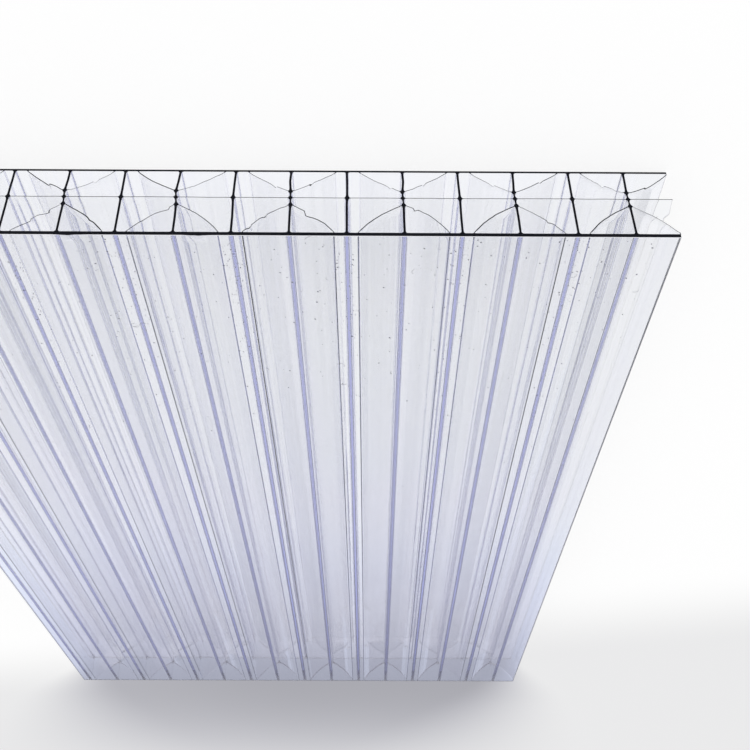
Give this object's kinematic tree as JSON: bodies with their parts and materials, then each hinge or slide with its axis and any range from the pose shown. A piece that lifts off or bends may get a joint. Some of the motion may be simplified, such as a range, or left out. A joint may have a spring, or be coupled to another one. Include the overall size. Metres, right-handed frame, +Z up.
{
  "type": "multiwall polycarbonate sheet",
  "caption": "Flat clear multiwall sheet: two outer skins and a thin middle one, joined by upright webs and crossed braces, with open flutes along its length.",
  "frame": {"origin": "middle of the underside, on the surface that the sheet lies on", "axes": "+Z up through the thick face skin, +Y along the flutes, +X across the webs"},
  "size_m": [0.16, 0.241, 0.016],
  "materials": {
    "clear_polycarbonate": "clear, glossy"
  },
  "bodies": {
    "root": {"multiwall_sheet": "clear_polycarbonate"}
  },
  "joints": []
}
